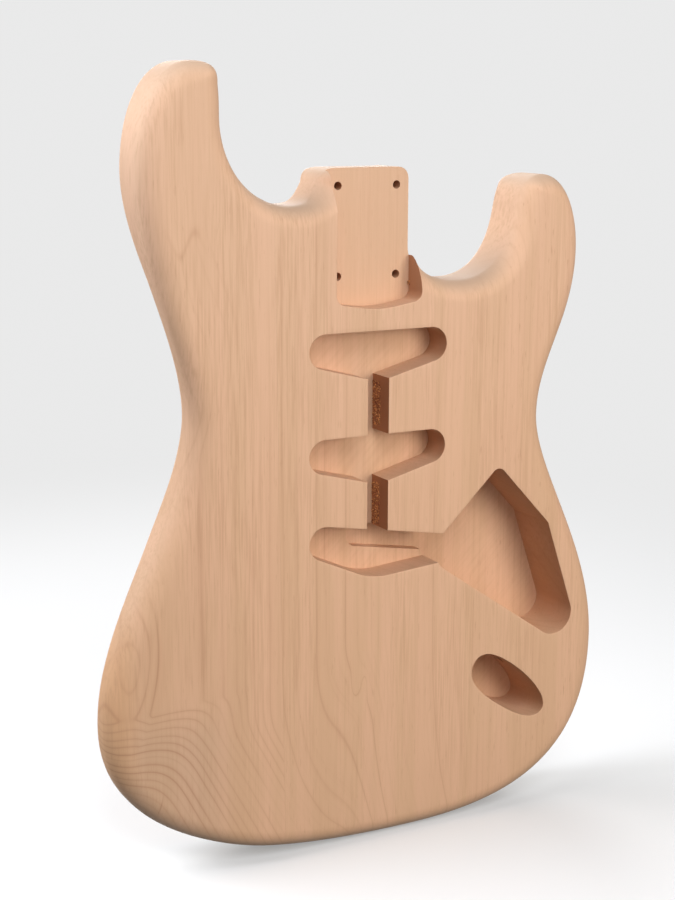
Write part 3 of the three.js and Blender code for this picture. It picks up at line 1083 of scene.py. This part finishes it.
stripe_scales = (75, 30, 2.2)
streak_scales = (1100, 480, 34)
cloud_scales = (26, 26, 11)
pore_scales = (1300, 900, 110)
pore_ramp = (0.3, 0.6)
patch_scales = (60, 40, 6)
patch_ramp = (-0.3, 0.4, 0.3, 1.3)
foot_streak_ramp = (-345, -235, 0.45, 1)
slow_shade_share = 0.2
streak_ramp = (-0.25, 0.55, 0, 0.36)
tint_cloud_share = 0.7
tan_ramp = (-0.35, 0.3)
# Painted light: how the wood gets paler towards the top
top_light_ramp = (-200, 90, 0, 0.3)
arch_tint_region = ((-85, -115), (-255, -290))
arch_tint_strength = 0.3
# Painted shade on the rounded lower bass rim
rim_shade_region = ((-142, -159), (-130, -220))
rim_shade_strength = 0.55
tool_mark_spread = 0.35
tool_mark_stretch = 0.03
tool_mark_ramp = (-0.3, 0.5, 0, 0.12)
tool_mark_depths = (1, 2)
routed_streak_share = 0.6
# Painted shade on routed walls that face across the board, fading towards the treble side
wall_facing_shade_ramp = (0.3, 0.95)
wall_shade_fades = ((10, 24, 0.85, 0.6), (40, 70, 1, 0.55))
end_grain_ramp = (0.2, 0.95, 0, 0.9)
sanded_roughness = 0.62
routed_roughness = 0.75
cloud_roughness = 0.05
streak_roughness = 0.06
wood_specular = 0.3
bump_strength = 0.35
sanded_bump = 0.06
routed_bump = 0.15


def streak_shade(grain, stripes, streaks, cloud):
    """Fine streaks come in patches and fade towards the foot."""
    patches = grain.noise(patch_scales, detail=1, offset=7).ramp(*patch_ramp)
    patches = patches * grain.z.ramp(*foot_streak_ramp)
    shade = streaks * patches + stripes * slow_shade_share - cloud * slow_shade_share
    return shade.ramp(*streak_ramp)


def tool_marks(grain):
    """Slanted marks down in the cavities, but none on the floor of the neck pocket."""
    across = (grain.x - grain.z) * tool_mark_spread
    along = (grain.x + grain.z) * tool_mark_stretch
    marks = grain.noise_along(across, along).ramp(*tool_mark_ramp)
    return marks * grain.y.ramp(*tool_mark_depths)


def board_tint(grain, stripes, cloud):
    """Pink and tan stripes, greyer in the arches, with painted light that makes it paler towards the top,
    and painted shade that makes it darker and more golden on the lower bass rim.
    """
    tan = (stripes + cloud * tint_cloud_share).ramp(*tan_ramp)
    colour = grain.mix(pink_wood, tan_wood, tan)
    # Painted light: paler towards the top of the body
    colour = grain.mix(colour, top_light_colour, grain.z.ramp(*top_light_ramp))
    colour = grain.mix(colour, end_grain_wood, grain.region(*arch_tint_region) * arch_tint_strength)
    # Painted shade: darker and more golden on the lower bass rim
    return grain.mix(colour, rim_shade_colour, grain.region(*rim_shade_region) * rim_shade_strength)


def tint_and_wall_shade(grain, colour, is_routed):
    """Routed walls that face across the board get painted shade, darker and redder, with less of it
    towards the treble side, and sanded end grain is greyer.
    """
    across, along = grain.facing()
    if not is_routed:
        return grain.mix(colour, end_grain_wood, along.ramp(*end_grain_ramp))
    # Painted shade on the routed walls, by how far they face across the board
    shaded_share = across.ramp(*wall_facing_shade_ramp)
    for fade in wall_shade_fades:
        shaded_share = shaded_share * grain.x.ramp(*fade)
    return grain.mix(colour, wall_shade_colour, shaded_share)


def board_wood(name, is_routed, seed, rings, pore_strength):
    """Bare alder: broad stripes, fine streaks, ring lines and short pores. The outside is sanded."""
    grain = Grain(name + ("_routed" if is_routed else "_sanded"), seed)
    stripes = grain.noise(stripe_scales, detail=2, offset=1)
    streaks = grain.noise(streak_scales, detail=3, offset=2)
    cloud = grain.noise(cloud_scales, detail=2, offset=4)
    pores = grain.noise(pore_scales, detail=1, offset=6).ramp(*pore_ramp)
    shade = streak_shade(grain, stripes, streaks, cloud)
    if is_routed:
        shade = shade * routed_streak_share + tool_marks(grain)
    colour = grain.mix(board_tint(grain, stripes, cloud), streak_wood, shade)
    colour = grain.mix(colour, ring_wood, rings(grain) * ring_strength)
    colour = grain.mix(colour, pore_wood, pores * pore_strength)
    grain.feed("Base Color", tint_and_wall_shade(grain, colour, is_routed))
    roughness = routed_roughness if is_routed else sanded_roughness
    grain.feed("Roughness", (cloud * cloud_roughness + streaks * streak_roughness + roughness).socket)
    grain.shader.inputs["Specular IOR Level"].default_value = wood_specular
    bump = grain.tree.nodes.new("ShaderNodeBump")
    bump.inputs["Strength"].default_value = bump_strength
    bump.inputs["Distance"].default_value = (routed_bump if is_routed else sanded_bump) * mm
    grain.tree.links.new((streaks - pores).socket, bump.inputs["Height"])
    grain.feed("Normal", bump.outputs["Normal"])
    return grain.material


# For each board, the seed of its noise, its ring lines, and how strongly its pores show

board_looks = {
    "bass_board": (3.7, bass_rings, 0.22),
    "centre_board": (11.3, centre_rings, 0.24),
    "treble_board": (23.9, treble_rings, 0.42),
}


# Fibres torn up in the deeper half of the wire channel's wall, and a few at the foot of the ear. Each
# patch has the place of its wall, its depths, its heights and the number of its fibres.

dark_fibre = (0.17, 0.04, 0.012, 1)
light_fibre = (0.92, 0.43, 0.15, 1)
fibre_seed = 7
fibre_length = (0.7 * mm, 2.1 * mm)
fibre_width = 0.28 * mm
fibre_reach = 1.2 * mm
fibre_sides = 3
fibre_out_share = (0.2, 1)
fibre_depth_share = 0.6
fibre_rise_share = 1.2
fibre_noise_seed = 5.1
speck_scales = (900, 900, 900)
speck_ramp = (-0.35, 0.35)
speck_roughness = 0.1
ear_wall_inset = 0.6 * mm
channel_wall = channel_offset + channel_width / 2
ear_wall = pocket_end_width / 2 - ear_wall_inset
channel_torn_depths = (10 * mm, 18.9 * mm)
ear_torn_depths = (13.4 * mm, 15.6 * mm)
torn_patches = (
    (channel_wall, channel_torn_depths, (-113.2 * mm, -87.2 * mm), 260),
    (channel_wall, channel_torn_depths, (-172.5 * mm, -147.5 * mm), 260),
    (ear_wall, ear_torn_depths, (-32 * mm, -29.5 * mm), 16),
)


def add_splinter(maker, foot, tip, way):
    """A slim pyramid on a base of three corners."""
    side = way.orthogonal().normalized() * fibre_width
    turn = Matrix.Rotation(full_turn / fibre_sides, 3, way)
    first = len(maker.vertices)
    for _ in range(fibre_sides):
        maker.vertices.append(tuple(foot + side))
        side = turn @ side
    maker.vertices.append(tuple(tip))
    for index in range(fibre_sides):
        following = (index + 1) % fibre_sides
        maker.faces.append([first + index, first + following, first + fibre_sides])
    maker.faces.append([first + index for index in reversed(range(fibre_sides))])


def torn_fibres():
    """Short tapered splinters that stand off the wall, most of them pointing along the grain."""
    chance = random.Random(fibre_seed)
    maker = MeshMaker()
    for wall, depths, heights, count in torn_patches:
        for _ in range(count):
            foot = Vector((wall, front_y + chance.uniform(*depths), chance.uniform(*heights)))
            way = Vector((
                -chance.uniform(*fibre_out_share),
                chance.uniform(-fibre_depth_share, fibre_depth_share),
                chance.uniform(-fibre_rise_share, fibre_rise_share),
            ))
            tip = foot + way.normalized() * chance.uniform(*fibre_length)
            tip.x = max(tip.x, wall - fibre_reach)
            add_splinter(maker, foot, tip, way)
    return solid_piece(maker.make("torn_fibres"))


def fibre_wood():
    grain = Grain("torn_fibre_wood", fibre_noise_seed)
    speck = grain.noise(speck_scales, detail=1, offset=2).ramp(*speck_ramp)
    grain.feed("Base Color", grain.mix(dark_fibre, light_fibre, speck))
    grain.feed("Roughness", (speck * speck_roughness + routed_roughness).socket)
    return grain.material


# Camera

view_azimuth = math.radians(-28.126)
view_elevation = math.radians(12.095)
view_roll = math.radians(0.242)
view_place = Vector((-460.9, -827.6, 75.0)) * mm
view_focal_pixels = 1653.66
image_height_pixels = 900
sensor_width = 36


def direction(azimuth, elevation):
    """The way from the body to a place round it. Azimuth 0 is in front."""
    return Vector((
        math.sin(azimuth) * math.cos(elevation),
        -math.cos(azimuth) * math.cos(elevation),
        math.sin(elevation),
    ))


def make_camera():
    data = bpy.data.cameras.new("camera")
    data.sensor_width = sensor_width
    data.lens = view_focal_pixels / image_height_pixels * sensor_width
    camera = new_object("camera", data)
    backward = direction(view_azimuth, view_elevation)
    right = (-backward).cross(Vector((0, 0, 1))).normalized()
    up = right.cross(-backward)
    level = Matrix((right, up, backward)).transposed()
    roll = Matrix.Rotation(view_roll, 3, "Z")
    camera.matrix_world = Matrix.Translation(view_place) @ (level @ roll).to_4x4()
    bpy.context.scene.camera = camera


# Light and floor. Each lamp has its azimuth and elevation in degrees, its power in watts and its colour

lamp_distance = 1.45
lamp_aim_drop = 60 * mm
lamp_size = 0.8
cool_light = (0.97, 1, 1.05)
plain_light = (1, 1, 1)
warm_light = (1.04, 0.995, 0.92)
lamps = (
    (-15, 40, 9.9, cool_light),
    (-25, 12, 2.8, plain_light),
    (-105, 40, 15.4, cool_light),
    (-135, 20, 9.2, plain_light),
    (20, 8, 12.7, warm_light),
    (-90, 75, 3.6, cool_light),
    (160, 25, 9, plain_light),
)
world_level = 0.06
backdrop_level = 0.82
floor_size = 40
floor_roughness = 0.8
floor_light_level = 0.09
floor_seen_level = 0.9
floor_fade_start = 0.2
floor_fade_end = 1.1
floor_glow_share = 0.3


def make_lamp(azimuth, elevation, power, colour):
    """A round soft lamp that looks at the middle of the body."""
    data = bpy.data.lights.new("lamp", "AREA")
    data.shape = "DISK"
    data.size = lamp_size
    data.energy = power
    data.color = colour
    lamp = new_object("lamp", data)
    way = direction(math.radians(azimuth), math.radians(elevation))
    lamp.location = Vector((0, 0, -lamp_aim_drop)) + way * lamp_distance
    lamp.rotation_euler = way.to_track_quat("Z", "Y").to_euler()


def seen_or_mirrored(tree):
    """1 for what the camera sees straight, in a reflection or through glass, and 0 for light."""
    path = tree.nodes.new("ShaderNodeLightPath")
    seen = Signal(tree, path.outputs["Is Camera Ray"])
    for name in ("Is Glossy Ray", "Is Transmission Ray"):
        seen = seen.through("MAXIMUM", Signal(tree, path.outputs[name]))
    return seen


def make_world():
    world = bpy.data.worlds.new("studio")
    world.use_nodes = True
    bpy.context.scene.world = world
    tree = world.node_tree
    background = tree.nodes["Background"]
    background.inputs["Color"].default_value = (1, 1, 1, 1)
    strength = seen_or_mirrored(tree) * (backdrop_level - world_level) + world_level
    tree.links.new(strength.socket, background.inputs["Strength"])


def make_floor():
    """Pale to the camera and dark to the light, fading into the backdrop away from the body."""
    bpy.ops.mesh.primitive_plane_add(size=floor_size, location=(0, 0, cad_bounds[0][2]))
    floor = bpy.context.object
    floor.name = "floor"
    material = bpy.data.materials.new("floor")
    material.use_nodes = True
    tree = material.node_tree
    shader = tree.nodes["Principled BSDF"]
    shader.inputs["Roughness"].default_value = floor_roughness
    shader.inputs["Specular IOR Level"].default_value = 0
    glow = tree.nodes.new("ShaderNodeEmission")
    glow.inputs["Strength"].default_value = backdrop_level
    seen = seen_or_mirrored(tree)
    level = seen * (floor_seen_level - floor_light_level) + floor_light_level
    tree.links.new(level.socket, shader.inputs["Base Color"])
    place = tree.nodes.new("ShaderNodeTexCoord")
    way = tree.nodes.new("ShaderNodeVectorMath")
    way.operation = "LENGTH"
    tree.links.new(place.outputs["Object"], way.inputs[0])
    fade = Signal(tree, way.outputs["Value"]).ramp(floor_fade_start, floor_fade_end, floor_glow_share, 1)
    blend = tree.nodes.new("ShaderNodeMixShader")
    tree.links.new((fade * seen).socket, blend.inputs[0])
    tree.links.new(shader.outputs[0], blend.inputs[1])
    tree.links.new(glow.outputs[0], blend.inputs[2])
    tree.links.new(blend.outputs[0], tree.nodes["Material Output"].inputs["Surface"])
    floor.data.materials.append(material)


make_camera()
make_world()
make_floor()
for azimuth, elevation, power, colour in lamps:
    make_lamp(azimuth, elevation, power, colour)

for node_name, board in make_boards().items():
    for place, material in enumerate(list(board.data.materials)):
        is_routed = material is not None and material.name == "routed"
        board.data.materials[place] = board_wood(node_name, is_routed, *board_looks[node_name])
    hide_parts(node_name)
    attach(board, "root")

fibres = torn_fibres()
fibres.data.materials.append(fibre_wood())
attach(fibres, "root")

bpy.context.scene.view_settings.view_transform = "Standard"
